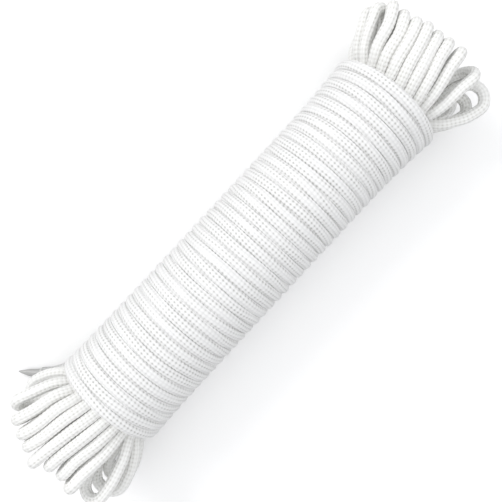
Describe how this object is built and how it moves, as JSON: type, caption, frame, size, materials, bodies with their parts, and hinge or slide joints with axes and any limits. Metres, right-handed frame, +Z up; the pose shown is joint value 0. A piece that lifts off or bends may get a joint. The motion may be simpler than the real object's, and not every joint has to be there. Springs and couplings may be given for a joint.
{
  "type": "hank of braided utility cord",
  "caption": "Long braided nylon cord laid up as a skein, bound over its length by close turns of the same cord, with looped ends fanned out and one sealed free end.",
  "frame": {"origin": "bottom of the middle turn of the winding, on the level surface that the hank lies on", "axes": "+X along the hank, away from the free end; +Z up from the surface; +Y to the side where the free end leaves"},
  "size_m": [0.3182, 0.0948, 0.0649],
  "materials": {
    "cord_outer": "white braided nylon with a soft sheen",
    "cord_inner": "white braided nylon with a soft sheen",
    "sealed_end": "melted nylon, smooth"
  },
  "bodies": {
    "root": {"skein": "cord_inner", "winding_right": "cord_outer", "winding_left": "cord_outer", "hidden_tip": "sealed_end", "free_tip": "sealed_end"}
  },
  "joints": []
}
